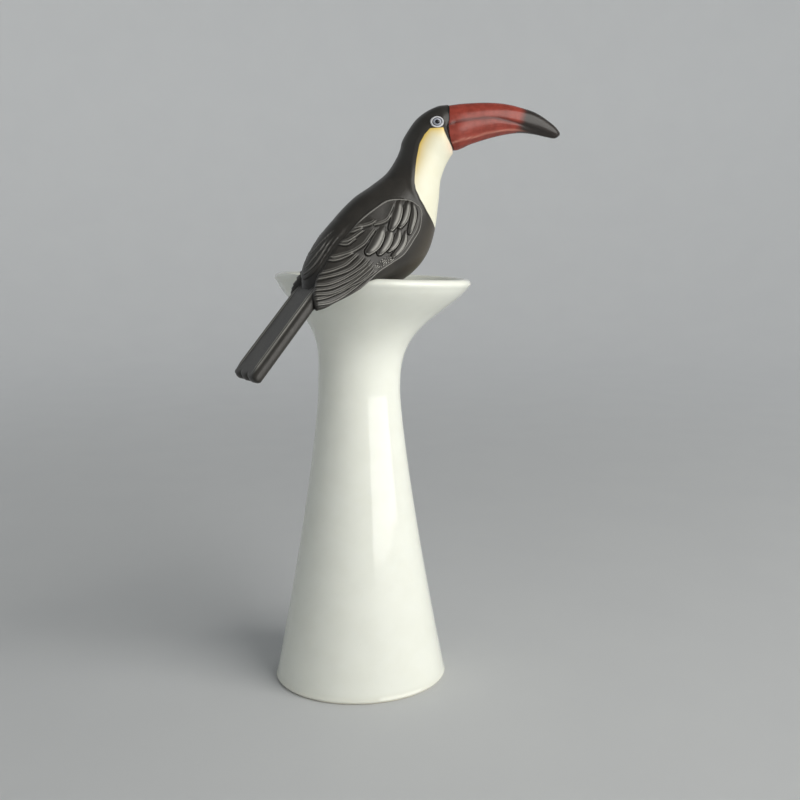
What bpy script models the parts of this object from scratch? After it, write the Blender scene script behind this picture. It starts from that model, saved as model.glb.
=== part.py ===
"""Toucan candle holder: a hollow glazed stand with a trumpet mouth, and a toucan seated on its rim.

Sizes are in metres, +Z is up, the bird looks towards +X and the foot stands on z = 0.
"""

import math

import bmesh
import bpy
import numpy as np

mm = 0.001

# Stand: heights above the table, radii along the bird's heading
rim_height = 179.8 * mm
neck_height = 129.4 * mm
foot_radius = 38.4 * mm
neck_radius = 17.9 * mm
mouth_radius = 41.9 * mm
wall = 4.6 * mm
foot_edge = 1.8 * mm
neck_join = 2.0 * mm
cone_join = 8.0 * mm
cone_power = 1.27
trumpet_power = 1.89

# Stand: how far it leaves a round, upright form
foot_roundness = 0.88
mouth_roundness = 0.97
oval_turn = math.radians(7.5)
mouth_shift = 6.3 * mm
shift_power = 1.2
mouth_tilt = math.radians(2.1)

# Where the sides start below the rim, in walls
outside_start = 0.8
inside_start = 0.6

# Candle socket
candle_diameter = 22.0 * mm
candle_play = 1.0 * mm
socket_depth = 25.0 * mm
socket_floor = 6.0 * mm
socket_lip = 1.5 * mm
roof_flat = 0.7

# Toucan: where it sits, and how it turns
perch_inset = 12.04 * mm
perch_aside = 0.3 * mm
perch_drop = 1.8 * mm
body_turn = math.radians(30.0)
head_turn = math.radians(-20.0)
neck_axis = 21.0 * mm
turn_from = 30.0 * mm
turn_to = 55.0 * mm
seat_gap = 0.3 * mm

# Wings and tail
wing_thickness = 3.4 * mm
wing_bulge = 2.0 * mm
wing_bow = 1.9 * mm
wing_bow_start = 0.72
tail_length = 56.6 * mm
tail_root_width = 19.0 * mm
tail_end_width = 20.5 * mm
tail_thickness = 4.6 * mm
tail_rounding = 1.3 * mm
tail_slope = math.radians(49.7)
tail_root = (-18.9 * mm, 9.2 * mm)
tail_feathers = 3
tail_scallop = 1.5 * mm
feather_share = 0.98

# How finely curved surfaces are cut
stand_segments = 44
trumpet_points = 11
cone_points = 9
lip_points = 6
foot_points = 4
body_rings = 30
body_points = 22
beak_rings = 13
beak_points = 14
wing_steps = 14
wing_across = 7
scallop_points = 6
weld = 0.01 * mm
sharp_angle = math.radians(40.0)

# Sections of the body from rump to beak root, in millimetres from the perch:
# (back along, back up, belly along, belly up, half width)
body_sections = (
    (-29.0, -1.0, -27.0, -6.0, 4.0),
    (-28.6, 3.0, -21.0, -5.8, 7.5),
    (-26.6, 9.0, -12.0, -4.8, 10.0),
    (-23.2, 14.6, -2.0, -4.0, 12.0),
    (-18.6, 20.6, 9.4, -1.3, 13.3),
    (-12.8, 27.2, 19.0, 4.2, 13.8),
    (-6.2, 33.0, 24.6, 10.6, 13.6),
    (2.2, 38.1, 27.6, 18.4, 12.8),
    (9.2, 43.3, 29.0, 26.4, 11.4),
    (12.8, 48.4, 30.1, 33.2, 10.1),
    (14.6, 52.3, 31.0, 40.0, 9.2),
    (15.6, 56.0, 33.2, 46.2, 8.8),
    (18.0, 60.0, 35.0, 49.4, 8.8),
    (21.2, 64.2, 36.0, 50.9, 8.8),
    (25.4, 67.4, 36.4, 51.6, 8.5),
    (30.0, 69.4, 36.7, 51.9, 7.9),
    (34.6, 70.0, 36.9, 52.1, 7.0),
)

# Sections of the beak from root to tip: (along, top, bottom, half width)
beak_sections = (
    (31.5, 69.2, 53.6, 6.0),
    (36.5, 70.2, 52.3, 6.5),
    (44.0, 71.0, 55.0, 6.2),
    (51.0, 71.3, 57.2, 5.8),
    (58.0, 70.9, 58.9, 5.2),
    (64.5, 69.6, 59.7, 4.5),
    (70.0, 68.0, 59.3, 3.8),
    (75.5, 65.0, 58.3, 3.0),
    (79.3, 62.2, 57.9, 2.0),
    (80.9, 60.4, 58.9, 0.8),
)

# Outline of the near wing from shoulder to tip, each row one line across the feathers:
# (upper along, upper up, upper aside, lower along, lower up, lower aside)
wing_lines = (
    (14.4, 29.9, -13.2, 15.3, 26.6, -13.8),
    (11.4, 32.2, -12.5, 14.7, 20.8, -14.4),
    (6.0, 32.8, -11.0, 11.6, 15.8, -14.7),
    (1.4, 32.0, -10.2, 7.4, 10.6, -14.8),
    (-4.0, 28.8, -9.8, 2.0, 7.2, -14.6),
    (-9.6, 24.6, -9.2, -4.6, 3.2, -14.2),
    (-14.3, 19.8, -8.8, -10.2, -1.6, -13.5),
    (-18.5, 15.5, -8.2, -15.8, -4.8, -12.8),
    (-22.2, 10.9, -7.7, -21.2, -7.2, -12.3),
    (-25.6, 6.0, -7.0, -25.8, -9.4, -11.9),
    (-27.6, 3.2, -6.6, -28.9, -10.2, -11.5),
)


def clear_scene():
    for old in list(bpy.data.objects):
        bpy.data.objects.remove(old, do_unlink=True)


def new_collection(name):
    made = bpy.data.collections.new(name)
    bpy.context.scene.collection.children.link(made)
    return made


def new_material(name, colour, roughness, metallic=0.0):
    made = bpy.data.materials.new(name)
    made.use_nodes = True
    shader = made.node_tree.nodes["Principled BSDF"]
    shader.inputs["Base Color"].default_value = (*colour, 1.0)
    shader.inputs["Roughness"].default_value = roughness
    shader.inputs["Metallic"].default_value = metallic
    return made


def new_object(name, mesh, collection, material=None):
    made = bpy.data.objects.new(name, mesh)
    collection.objects.link(made)
    if material:
        mesh.materials.append(material)
    return made


def as_guide(guide):
    """A cutter, or a shape that is joined to another: it is not a piece of its own."""
    guide.hide_render = True
    guide.display_type = "WIRE"
    return guide


def evaluated_mesh(source):
    """The mesh of an object with its modifiers, and its seams closed."""
    bpy.context.view_layer.update()
    graph = bpy.context.evaluated_depsgraph_get()
    made = bpy.data.meshes.new_from_object(source.evaluated_get(graph))
    shape = bmesh.new()
    shape.from_mesh(made)
    bmesh.ops.remove_doubles(shape, verts=shape.verts, dist=weld)
    bmesh.ops.recalc_face_normals(shape, faces=shape.faces)
    shape.to_mesh(made)
    shape.free()
    return made


def soft_step(share):
    """A share kept from 0 to 1, with a smooth start and end."""
    share = min(max(share, 0.0), 1.0)
    return share**2 * (3 - 2 * share)


def smooth_rows(rows, count):
    """Rows of numbers read along a smooth curve through the given ones, at count places."""
    rows = np.array(rows, float)
    steps = np.linalg.norm(np.diff(rows, axis=0), axis=1)
    places = np.concatenate([[0.0], np.cumsum(steps)])
    slopes = np.gradient(rows, places, axis=0)
    found = []
    for place in np.linspace(0.0, places[-1], count):
        i = min(np.searchsorted(places, place, side="right") - 1, len(rows) - 2)
        gap = places[i + 1] - places[i]
        t = (place - places[i]) / gap
        found.append(
            (2 * t**3 - 3 * t**2 + 1) * rows[i]
            + (t**3 - 2 * t**2 + t) * gap * slopes[i]
            + (3 * t**2 - 2 * t**3) * rows[i + 1]
            + (t**3 - t**2) * gap * slopes[i + 1]
        )
    return np.array(found)


# Stand


def ease(height, power):
    """0 at the neck, 1 at the rim, with an S-shaped rise between them."""
    share = (height - neck_height) / (rim_height - neck_height)
    share = min(max(share, 0.0), 1.0)
    return math.sin(0.5 * math.pi * share**power) ** 2


def outer_radius(height):
    if height >= neck_height:
        return neck_radius + (mouth_radius - neck_radius) * ease(height, trumpet_power)
    drop = (neck_height - height) / neck_height
    return neck_radius + (foot_radius - neck_radius) * drop**cone_power


def outer_side(top, bottom, count):
    """Points (radius, height) down the outside of the stand."""
    heights = np.linspace(top, bottom, count)
    return [(outer_radius(height), height) for height in heights]


def moved_in(points, depth):
    """The points moved inwards, square to the line that they make."""
    points = np.array(points)
    along = np.gradient(points, axis=0)
    along /= np.linalg.norm(along, axis=1)[:, None]
    inwards = np.stack([along[:, 1], -along[:, 0]], axis=1)
    return [tuple(point) for point in points + depth * inwards]


def arc(centre, radius, start, end, count):
    """Points on an arc of a profile, its angles in degrees from +X."""
    turns = np.radians(np.linspace(start, end, count))
    return [
        (centre[0] + radius * math.cos(turn), centre[1] + radius * math.sin(turn))
        for turn in turns
    ]


def trumpet_side():
    """Points down the outside of the trumpet, from just under its lip to the neck."""
    top = rim_height - outside_start * wall
    return outer_side(top, neck_height + neck_join, trumpet_points)


def funnel_side(depth):
    """Points down the inside of the trumpet, from just under its lip."""
    top = rim_height - inside_start * wall
    return [point for point in moved_in(trumpet_side(), depth) if point[1] < top]


def lip_arc(gap=0.0):
    """The rounded lip, over the top from the inside to the outside."""
    radius = 0.5 * wall
    return arc((mouth_radius - radius, rim_height - radius), radius + gap, 180, 0, lip_points)


def stand_profile():
    """The stand's half section, from the socket's floor over the rim and down to the foot's hollow."""
    socket_radius = 0.5 * (candle_diameter + candle_play)
    funnel = [point for point in funnel_side(wall) if point[0] > socket_radius + socket_lip]
    socket_top = funnel[-1][1] - socket_lip
    floor_height = socket_top - socket_depth
    roof_height = floor_height - socket_floor
    cone = outer_side(neck_height - cone_join, foot_edge, cone_points)
    inside = [point for point in moved_in(cone, wall) if foot_edge < point[1] < roof_height]
    roof_radius = inside[0][0]
    profile = [(0.0, floor_height), (socket_radius, floor_height)]
    profile += [(socket_radius, socket_top), (socket_radius + socket_lip, socket_top + socket_lip)]
    profile += funnel[::-1]
    profile += lip_arc() + trumpet_side() + cone
    profile += arc((foot_radius - foot_edge, foot_edge), foot_edge, 0, -90, foot_points)[1:]
    profile += [(foot_radius - wall - foot_edge, 0.0)]
    profile += inside[::-1]
    profile += [(roof_flat * roof_radius, roof_height), (0.0, roof_height)]
    return profile


def seat_profile():
    """A closed loop round the trumpet's wall, thicker on all sides by the gap that the toucan keeps."""
    funnel = funnel_side(wall + seat_gap)
    return funnel[::-1] + lip_arc(seat_gap) + moved_in(trumpet_side(), -seat_gap)


def sway(mesh):
    """Turns the round form into the real one: oval, with its mouth shifted and tilted."""
    along = np.array([math.cos(oval_turn), math.sin(oval_turn)])
    for vertex in mesh.vertices:
        x, y, height = vertex.co
        rise = ease(height, trumpet_power)
        roundness = foot_roundness + (mouth_roundness - foot_roundness) * rise
        flat = np.array([x, y])
        length = float(flat @ along)
        flat = length * along + roundness * (flat - length * along)
        drop = math.tan(mouth_tilt) * flat[0] * rise
        vertex.co = (flat[0] + mouth_shift * ease(height, shift_power), flat[1], height - drop)


def turned(name, profile, collection, closed_loop=False):
    """A profile turned about the stand's axis, then swayed."""
    mesh = bpy.data.meshes.new(name)
    count = len(profile)
    edges = [(i, i + 1) for i in range(count - 1)]
    if closed_loop:
        edges.append((count - 1, 0))
    mesh.from_pydata([(radius, 0.0, height) for radius, height in profile], edges, [])
    spun = new_object(name, mesh, collection)
    screw = spun.modifiers.new("turn", "SCREW")
    screw.steps = stand_segments
    screw.render_steps = stand_segments
    screw.use_merge_vertices = True
    screw.merge_threshold = weld
    made = evaluated_mesh(spun)
    bpy.data.objects.remove(spun, do_unlink=True)
    sway(made)
    made.shade_smooth()
    made.set_sharp_from_angle(angle=sharp_angle)
    return made


# Toucan


def place(point):
    """A point of the toucan, in metres from its perch, put where the bird sits on the rim."""
    along, aside, up = point
    turn = head_turn * soft_step((up - turn_from) / (turn_to - turn_from))
    reach = along - neck_axis
    along = neck_axis + reach * math.cos(turn) - aside * math.sin(turn)
    aside = aside * math.cos(turn) + reach * math.sin(turn)
    perch_x = mouth_shift - perch_aside
    perch_y = perch_inset - mouth_roundness * mouth_radius
    x = perch_x + along * math.cos(body_turn) - aside * math.sin(body_turn)
    y = perch_y + along * math.sin(body_turn) + aside * math.cos(body_turn)
    return (x, y, rim_height - perch_drop + up)


def loft(name, rings, collection):
    """A closed skin over rings of the same number of points, each end closed by one face."""
    shape = bmesh.new()
    made = [[shape.verts.new(place(point)) for point in ring] for ring in rings]
    count = len(made[0])
    for here, there in zip(made, made[1:]):
        for i in range(count):
            j = (i + 1) % count
            shape.faces.new((here[i], here[j], there[j], there[i]))
    shape.faces.new(made[0][::-1])
    shape.faces.new(made[-1])
    bmesh.ops.recalc_face_normals(shape, faces=shape.faces)
    mesh = bpy.data.meshes.new(name)
    shape.to_mesh(mesh)
    shape.free()
    mesh.shade_smooth()
    return new_object(name, mesh, collection)


def oval_ring(back, belly, half_width, count):
    """An oval across the bird's middle plane, from its back point round to its belly point."""
    back = np.array([back[0], 0.0, back[1]])
    belly = np.array([belly[0], 0.0, belly[1]])
    centre = 0.5 * (back + belly)
    ring = []
    for turn in np.linspace(0.0, 2.0 * math.pi, count, endpoint=False):
        point = centre + math.cos(turn) * 0.5 * (back - belly)
        point[1] = half_width * math.sin(turn)
        ring.append(point * mm)
    return ring


def make_body(collection):
    rings = [
        oval_ring((row[0], row[1]), (row[2], row[3]), row[4], body_points)
        for row in smooth_rows(body_sections, body_rings)
    ]
    return loft("body", rings, collection)


def make_beak(collection):
    rings = [
        oval_ring((row[0], row[1]), (row[0], row[2]), row[3], beak_points)
        for row in smooth_rows(beak_sections, beak_rings)
    ]
    return loft("beak", rings, collection)


def make_wing(name, side, collection):
    """A curved shell over one flank, bowed at its tip: side is -1 for the near wing and 1 for the far one."""
    shape = bmesh.new()
    grid = []
    stations = np.linspace(0.0, 1.0, wing_steps)
    for station, row in zip(stations, smooth_rows(wing_lines, wing_steps)):
        bow = wing_bow * soft_step((station - wing_bow_start) / (1.0 - wing_bow_start))
        upper = np.array([row[0], row[2], row[1]])
        lower = np.array([row[3], row[5], row[4]])
        line = []
        for share in np.linspace(0.0, 1.0, wing_across):
            point = (upper + share * (lower - upper)) * mm
            arch = 4.0 * share * (1.0 - share)
            point -= arch * np.array([bow, wing_bulge, 0.0])
            point[1] *= -side
            line.append(shape.verts.new(place(point)))
        grid.append(line)
    for here, there in zip(grid, grid[1:]):
        for i in range(wing_across - 1):
            corners = (here[i], here[i + 1], there[i + 1], there[i])
            shape.faces.new(corners if side > 0 else corners[::-1])
    mesh = bpy.data.meshes.new(name)
    shape.to_mesh(mesh)
    shape.free()
    wing = new_object(name, mesh, collection)
    shell = wing.modifiers.new("thickness", "SOLIDIFY")
    shell.thickness = wing_thickness
    shell.offset = -1.0
    return wing


def tail_outline():
    """The tail seen from above: (along, aside), with a rounded end on each feather."""
    points = [(0.0, -0.5 * tail_root_width)]
    feather = tail_end_width / tail_feathers
    for i in range(tail_feathers):
        centre = -0.5 * tail_end_width + (i + 0.5) * feather
        for turn in np.linspace(-0.5 * math.pi, 0.5 * math.pi, scallop_points):
            length = tail_length - tail_scallop * (1.0 - math.cos(turn))
            points.append((length, centre + 0.5 * feather_share * feather * math.sin(turn)))
    points.append((0.0, 0.5 * tail_root_width))
    return points


def make_tail(collection):
    """A flat plate cut to the tail's outline, its edges rounded."""
    curve = bpy.data.curves.new("tail", "CURVE")
    curve.dimensions = "2D"
    curve.fill_mode = "BOTH"
    curve.extrude = 0.5 * tail_thickness - tail_rounding
    curve.bevel_depth = tail_rounding
    curve.bevel_resolution = 2
    curve.offset = -tail_rounding
    outline = tail_outline()
    spline = curve.splines.new("POLY")
    spline.points.add(len(outline) - 1)
    spline.use_cyclic_u = True
    for point, (along, aside) in zip(spline.points, outline):
        point.co = (along, aside, 0.0, 1.0)
    flat = new_object("tail", curve, collection)
    mesh = evaluated_mesh(flat)
    bpy.data.objects.remove(flat, do_unlink=True)
    down = np.array([-math.cos(tail_slope), 0.0, -math.sin(tail_slope)])
    under = np.array([math.sin(tail_slope), 0.0, -math.cos(tail_slope)])
    root = np.array([tail_root[0], 0.0, tail_root[1]])
    for vertex in mesh.vertices:
        length, aside, height = vertex.co
        point = root + length * down + (0.5 * tail_thickness - height) * under
        point[1] = aside
        vertex.co = place(point)
    shape = bmesh.new()
    shape.from_mesh(mesh)
    bmesh.ops.recalc_face_normals(shape, faces=shape.faces)
    shape.to_mesh(mesh)
    shape.free()
    return new_object("tail", mesh, collection)


def boolean(target, other, operation):
    modifier = target.modifiers.new(other.name, "BOOLEAN")
    modifier.operation = operation
    modifier.solver = "MANIFOLD"
    modifier.object = other


def centre_on_outline(pieces):
    """Moves everything so that the middle of the whole outline stands over the origin."""
    bpy.context.view_layer.update()
    graph = bpy.context.evaluated_depsgraph_get()
    corners = []
    for piece in pieces:
        mesh = piece.evaluated_get(graph).to_mesh()
        corners += [vertex.co.copy() for vertex in mesh.vertices]
        piece.evaluated_get(graph).to_mesh_clear()
    middle_x = 0.5 * (min(c.x for c in corners) + max(c.x for c in corners))
    middle_y = 0.5 * (min(c.y for c in corners) + max(c.y for c in corners))
    for each in bpy.data.objects:
        each.location.x -= middle_x
        each.location.y -= middle_y


def main():
    clear_scene()
    pieces = new_collection("toucan candle holder")
    guides = new_collection("cutters")
    guides.hide_render = True

    glaze = new_material("cream glaze", (0.86, 0.85, 0.76), 0.18)
    paint = new_material("painted plumage", (0.035, 0.032, 0.030), 0.42)

    stand_mesh = turned("candlestick", stand_profile(), guides)
    stand = new_object("candlestick", stand_mesh, pieces, glaze)

    toucan = make_body(pieces)
    toucan.name = "toucan"
    toucan.data.name = "toucan"
    toucan.data.materials.append(paint)
    for added in (
        make_beak(guides),
        make_wing("near_wing", -1, guides),
        make_wing("far_wing", 1, guides),
        make_tail(guides),
    ):
        boolean(toucan, as_guide(added), "UNION")
    seat_mesh = turned("seat", seat_profile(), guides, closed_loop=True)
    boolean(toucan, as_guide(new_object("seat", seat_mesh, guides)), "DIFFERENCE")

    centre_on_outline((stand, toucan))


main()
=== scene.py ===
# Looks of the toucan candle holder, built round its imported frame
import math

import bpy
import numpy as np
from mathutils.kdtree import KDTree
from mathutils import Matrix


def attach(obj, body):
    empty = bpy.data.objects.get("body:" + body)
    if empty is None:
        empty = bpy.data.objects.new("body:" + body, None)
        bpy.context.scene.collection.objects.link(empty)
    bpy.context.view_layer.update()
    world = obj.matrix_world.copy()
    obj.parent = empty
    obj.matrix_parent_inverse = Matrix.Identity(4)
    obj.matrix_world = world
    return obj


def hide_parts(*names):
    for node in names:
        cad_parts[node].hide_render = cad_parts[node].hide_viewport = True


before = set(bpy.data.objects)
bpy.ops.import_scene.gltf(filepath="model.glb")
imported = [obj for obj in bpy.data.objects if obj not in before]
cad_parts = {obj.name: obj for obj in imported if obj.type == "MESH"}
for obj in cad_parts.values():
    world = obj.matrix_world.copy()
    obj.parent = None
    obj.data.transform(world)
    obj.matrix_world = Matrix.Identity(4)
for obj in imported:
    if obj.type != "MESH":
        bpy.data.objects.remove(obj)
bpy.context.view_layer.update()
mm = 0.001

# The middle of the foot, which is where the stand's axis meets the table
footSpots = [v.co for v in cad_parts["candlestick"].data.vertices if v.co.z < 1 * mm]
axisX = 0.5 * (min(c.x for c in footSpots) + max(c.x for c in footSpots)) / mm
axisY = 0.5 * (min(c.y for c in footSpots) + max(c.y for c in footSpots)) / mm
print("frame loaded, stand axis at", round(axisX, 3), round(axisY, 3))


# Small helpers


def deselectAll():
    if bpy.context.object and bpy.context.object.mode != "OBJECT":
        bpy.ops.object.mode_set(mode="OBJECT")
    bpy.ops.object.select_all(action="DESELECT")


def pick(piece):
    deselectAll()
    piece.select_set(True)
    bpy.context.view_layer.objects.active = piece


def editAll(piece):  # edit mode, with the whole mesh selected
    pick(piece)
    bpy.ops.object.mode_set(mode="EDIT")
    bpy.ops.mesh.select_all(action="SELECT")


def extrudeUp(height):
    bpy.ops.mesh.extrude_region_move(TRANSFORM_OT_translate={"value": (0, 0, height * mm)})


def faceOut():  # turns the faces of the whole mesh outwards, and leaves edit mode
    bpy.ops.mesh.select_all(action="SELECT")
    bpy.ops.mesh.normals_make_consistent(inside=False)
    deselectAll()


def newPiece(name):  # names the primitive that was just added, and forgets its place
    piece = bpy.context.object
    piece.name = name
    piece.data.name = name
    bpy.ops.object.transform_apply()
    return piece


def readSpots(piece):
    spots = np.zeros(len(piece.data.vertices) * 3)
    piece.data.vertices.foreach_get("co", spots)
    return spots.reshape(-1, 3) / mm


def writeSpots(piece, spots):
    piece.data.vertices.foreach_set("co", (np.asarray(spots) * mm).ravel())
    piece.data.update()


def readNormals(piece):
    normals = np.zeros(len(piece.data.vertices) * 3)
    piece.data.vertex_normals.foreach_get("vector", normals)
    return normals.reshape(-1, 3)


def softStep(value, start, end):  # 0 before start, 1 after end, smooth between
    share = np.clip((np.asarray(value, float) - start) / (end - start), 0.0, 1.0)
    return share * share * (3.0 - 2.0 * share)


def bump(value, middle, width):  # a rounded line: 1 at its middle
    return np.exp(-(((value - middle) / width) ** 2))


curvePoints = 40  # spots that a drawn line is read at


def wayAlong(points):  # how far along a line each of its points is
    steps = np.linalg.norm(np.diff(points, axis=0), axis=1)
    return np.concatenate([[0.0], np.cumsum(steps)])


def smoothRows(rows, count):  # rows of numbers read along a smooth curve through the given ones
    rows = np.array(rows, float)
    places = wayAlong(rows)
    slopes = np.gradient(rows, places, axis=0)
    found = []
    for place in np.linspace(0.0, places[-1], count):
        i = min(np.searchsorted(places, place, side="right") - 1, len(rows) - 2)
        gap = places[i + 1] - places[i]
        t = (place - places[i]) / gap
        found.append(
            (2 * t**3 - 3 * t**2 + 1) * rows[i]
            + (t**3 - 2 * t**2 + t) * gap * slopes[i]
            + (3 * t**2 - 2 * t**3) * rows[i + 1]
            + (t**3 - t**2) * gap * slopes[i + 1]
        )
    return np.array(found)


def besideLine(flat, line):
    # For each flat spot: its distance from a curved line, the side it lies on, and how far along it is
    points = smoothRows(line, curvePoints)
    start, step = points[:-1], np.diff(points, axis=0)
    reach = flat[:, None, :] - start[None, :, :]
    length = np.einsum("ij,ij->i", step, step)
    share = np.clip(np.einsum("nij,ij->ni", reach, step) / length, 0.0, 1.0)
    away = reach - share[:, :, None] * step
    gaps = np.linalg.norm(away, axis=2)
    nearest = gaps.argmin(axis=1)
    row = np.arange(len(flat))
    near = away[row, nearest]
    along = step[nearest]
    side = np.sign(along[:, 0] * near[:, 1] - along[:, 1] * near[:, 0])
    return gaps[row, nearest], side, (nearest + share[row, nearest]) / (curvePoints - 1)


def insideLoop(flat, loop):  # distance to a closed outline, positive inside it
    loop = np.array(loop, float)
    ends = np.roll(loop, -1, axis=0)
    best = np.full(len(flat), np.inf)
    turns = np.zeros(len(flat), int)
    for (x0, y0), (x1, y1) in zip(loop, ends):
        step = np.array([x1 - x0, y1 - y0])
        reach = flat - (x0, y0)
        share = np.clip(reach @ step / (step @ step), 0.0, 1.0)
        best = np.minimum(best, np.linalg.norm(reach - share[:, None] * step, axis=1))
        crosses = (flat[:, 1] < y0) != (flat[:, 1] < y1)
        if y1 != y0:
            turns += crosses & (flat[:, 0] < x0 + (flat[:, 1] - y0) * (x1 - x0) / (y1 - y0))
    return np.where(turns % 2 == 1, best, -best)


# Camera: the photograph's viewing angle, with distances from the stand's axis

cameraPlace = {
    "lens": 42.75,
    "sensor": 36.0,
    "pitch": 9.2,  # degrees below level
    "right": 17.8,
    "back": 410.4,
    "height": 192.2,
    "clipStart": 0.01,  # m
}

bpy.ops.object.camera_add(
    location=(
        (axisX + cameraPlace["right"]) * mm,
        (axisY - cameraPlace["back"]) * mm,
        cameraPlace["height"] * mm,
    ),
    rotation=(math.radians(90.0 - cameraPlace["pitch"]), 0.0, 0.0),
)
camera = bpy.context.object
camera.data.lens = cameraPlace["lens"]
camera.data.sensor_width = cameraPlace["sensor"]
camera.data.clip_start = cameraPlace["clipStart"]
bpy.context.scene.camera = camera
bpy.context.scene.view_settings.view_transform = "Standard"  # keeps the paints' own colours
print("camera placed")


# Materials

def paint(code):  # an sRGB hex value as linear colour
    parts = [int(code[i : i + 2], 16) / 255.0 for i in (1, 3, 5)]
    return tuple(c / 12.92 if c <= 0.04045 else ((c + 0.055) / 1.055) ** 2.4 for c in parts) + (1.0,)


def addNode(kind, settings=None, values=None, links=None):
    # A node of the material in hand: its settings, its sockets' values and what is linked to them
    node = tree.nodes.new("ShaderNode" + kind)
    for name, value in (settings or {}).items():
        setattr(node, name, value)
    for name, value in (values or {}).items():
        node.inputs[name].default_value = value
    for name, source in (links or {}).items():
        tree.links.new(source, node.inputs[name])
    return node


def feed(name, source):
    tree.links.new(source, shader.inputs[name])


def newMaterial(name):
    material = bpy.data.materials.new(name)
    material.use_nodes = True
    return material, material.node_tree, material.node_tree.nodes["Principled BSDF"]


def blendColour(share, first, second):
    # Mixes two colours, each a hex value or a socket
    node = addNode("Mix", {"data_type": "RGBA"})
    for socket, value in ((node.inputs[0], share), (node.inputs[6], first), (node.inputs[7], second)):
        if isinstance(value, str):
            socket.default_value = paint(value)
        else:
            tree.links.new(value, socket)
    return node.outputs[2]


def blendNumber(share, first, second):  # mixes a socket and a number by a share that is a socket
    links = {0: share, 2: first}
    return addNode("Mix", {"data_type": "FLOAT"}, {3: second}, links).outputs[0]


def spread(value, fromLow, fromHigh, toLow=0.0, toHigh=1.0, soft=True):
    # Reads a socket over a range and gives it over another
    if fromLow > fromHigh:
        fromLow, fromHigh, toLow, toHigh = fromHigh, fromLow, toHigh, toLow
    settings = {"interpolation_type": "SMOOTHSTEP" if soft else "LINEAR"}
    values = {"From Min": fromLow, "From Max": fromHigh, "To Min": toLow, "To Max": toHigh}
    return addNode("MapRange", settings, values, {"Value": value}).outputs["Result"]


def mask(name):  # a value that each spot of the piece carries
    return addNode("Attribute", {"attribute_name": name}).outputs["Fac"]


def noise(where, size, detail=2.0, roughness=0.5):
    # Noise whose lumps are about the given size in millimetres
    values = {"Scale": 1.0 / (size * mm), "Detail": detail, "Roughness": roughness}
    return addNode("TexNoise", None, values, {"Vector": where}).outputs["Fac"]


def addRelief(height, strength, depth, invert=False, links=None):
    # Bumps from a socket, with their depth in millimetres
    values = {"Strength": strength, "Distance": depth * mm}
    links = {"Height": height, **(links or {})}
    return addNode("Bump", {"invert": invert}, values, links).outputs["Normal"]


glazeLook = {
    "body": "#EAECE3",  # warm white porcelain under clear glaze
    "pooled": "#DFE0D4",  # where the glaze is thick
    "bare": "#E9E4D6",  # unglazed foot ring
    "bareDark": "#D8D0BE",
    "speck": "#B8B09A",
    "gloss": (0.06, 0.10),  # roughness of the glaze
    "bareRoughness": 0.75,
    "grit": 0.6,  # mm, of the bare clay
    "smears": 5.0,  # mm, of the gloss
    "mottle": 9.0,  # mm
    "ripple": 16.0,  # mm, slow waves that bend the reflections
    "pinholes": 2.2,  # mm between them
}

# Slip-cast porcelain with a clear cream glaze: a wet gloss whose reflections waver slightly
creamGlaze, tree, shader = newMaterial("glazed porcelain, cream")
where = addNode("TexCoord").outputs["Object"]
mottle = noise(where, glazeLook["mottle"], 3.0)
bare = mask("bareClay")
mottle = spread(mottle, 0.35, 0.7, 0.0, 0.2)
tone = blendColour(mottle, glazeLook["body"], glazeLook["pooled"])
tone = blendColour(mask("glazePool"), tone, glazeLook["pooled"])
values = {"Scale": 1.0 / (glazeLook["pinholes"] * mm)}
cells = addNode("TexVoronoi", None, values, {"Vector": where})
# Few of the cells have a pinhole
speck = spread(cells.outputs["Distance"], 0.05, 0.02, soft=False)
rare = addNode("SeparateColor", links={"Color": cells.outputs["Color"]}).outputs["Red"]
rare = spread(rare, 0.93, 0.96)
speck = addNode("Math", {"operation": "MULTIPLY"}, links={0: speck, 1: rare}).outputs[0]
tone = blendColour(speck, tone, glazeLook["speck"])
grit = spread(noise(where, glazeLook["grit"], 3.0, 0.7), 0.3, 0.7)
tone = blendColour(bare, tone, blendColour(grit, glazeLook["bare"], glazeLook["bareDark"]))
feed("Base Color", tone)
rough = spread(noise(where, glazeLook["smears"], 2.0), 0.3, 0.7, *glazeLook["gloss"])
rough = blendNumber(bare, rough, glazeLook["bareRoughness"])
feed("Roughness", rough)
shader.inputs["IOR"].default_value = 1.5
shader.inputs["Subsurface Weight"].default_value = 0.08
shader.inputs["Subsurface Radius"].default_value = (1.0, 0.9, 0.7)
shader.inputs["Subsurface Scale"].default_value = 1.2 * mm
ripple = addRelief(noise(where, glazeLook["ripple"], 1.0), 0.12, 1.0)
feed("Normal", addRelief(speck, 0.25, 0.2, True, {"Normal": ripple}))


plumageLook = {
    "plume": "#2F2D2A",  # brown-black satin paint
    "plumeWorn": "#3A3733",
    "ridgeHighlight": "#BDBBB4",  # painted highlight, light grey on the ridges
    # painted shade, dark in the grooves and over the rump
    "hollow": "#161514",
    "breast": "#4C463C",
    "ivory": "#E3E2CF",
    "ivoryDeep": "#DDD9BE",
    "yellow": "#E3BE4A",
    "blush": "#E9BFA6",
    "beak": "#80352A",
    "beakDeep": "#431814",  # in the line between its halves
    "beakLight": "#984236",
    # painted highlight along the ridge under the beak's groove
    "beakRidgeHighlight": "#C58A7A",
    "beakTip": "#2E2926",
    "baseLine": "#1B1A18",
    # Rings of the eye from outside in: the colour, and the mm from the middle where it fades in
    "eye": (("#C3C4C8", 2.75, 2.6), ("#15161C", 2.0, 1.9), ("#9DA0AA", 1.75, 1.6), ("#15161C", 1.05, 0.95)),
    "clouds": 7.0,  # mm
    "beakClouds": 4.0,
    "grain": 0.9,
    "satin": (0.30, 0.38),  # roughness of the plumage
    "beakGloss": 0.24,
    "eyeGloss": 0.08,
}
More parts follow.
